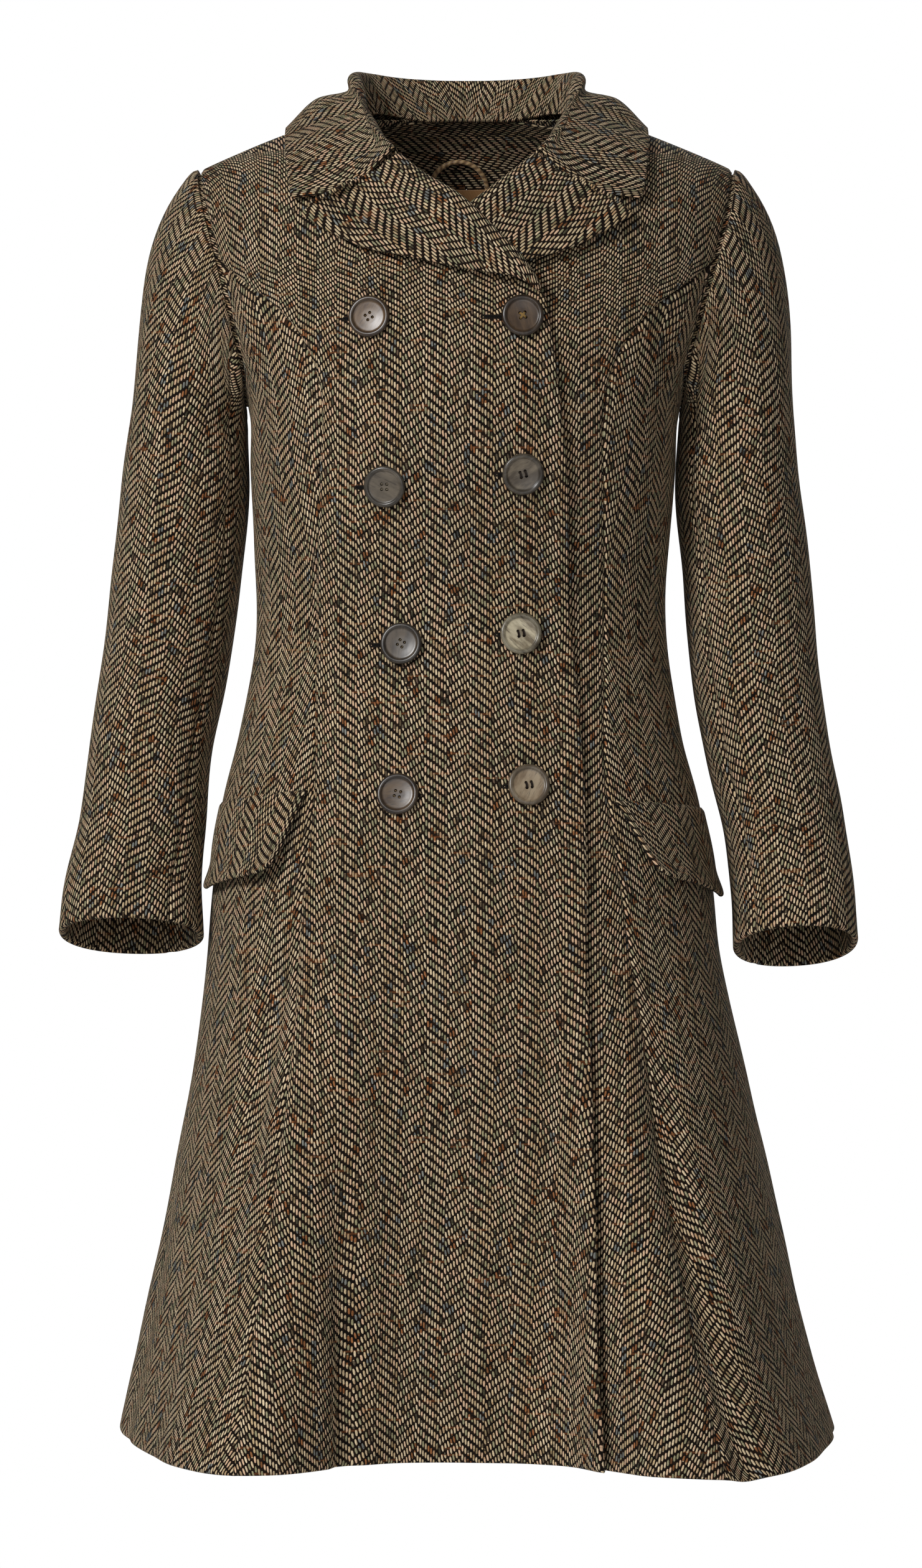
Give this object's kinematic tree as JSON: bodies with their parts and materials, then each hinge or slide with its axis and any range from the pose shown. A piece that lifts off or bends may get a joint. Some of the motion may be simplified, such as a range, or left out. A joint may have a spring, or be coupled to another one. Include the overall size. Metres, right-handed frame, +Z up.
{
  "type": "coat",
  "caption": "Long double-breasted herringbone tweed coat with notched lapels, turned-down collar, slanted pocket flaps and bracelet sleeves, filled out as worn.",
  "frame": {"origin": "middle of the neck opening, level with the points where the shoulder seams meet the collar", "axes": "+Z up towards the collar, -Y to the front of the coat, +X towards the wearer's left"},
  "size_m": [0.5567, 0.4291, 0.9624],
  "materials": {
    "tweed": "woven herringbone wool",
    "facing": "woven herringbone wool",
    "lining": "satin",
    "loop": "satin cord",
    "button": "polished horn"
  },
  "bodies": {
    "root": {"back_left": "tweed", "back_neck_facing": "facing", "back_right": "tweed", "button_left_1": "button", "button_left_2": "button", "button_left_3": "button", "button_left_4": "button", "button_right_1": "button", "button_right_2": "button", "button_right_3": "button", "button_right_4": "button", "collar": "tweed", "flap_left": "tweed", "flap_right": "tweed", "front_left": "tweed", "front_right": "tweed", "hanger_loop": "loop", "lapel_left": "tweed", "lapel_right": "tweed", "lining": "lining", "side_front_left": "tweed", "side_front_right": "tweed", "under_sleeve_left": "tweed", "under_sleeve_right": "tweed", "upper_sleeve_left": "tweed", "upper_sleeve_right": "tweed"}
  },
  "joints": []
}
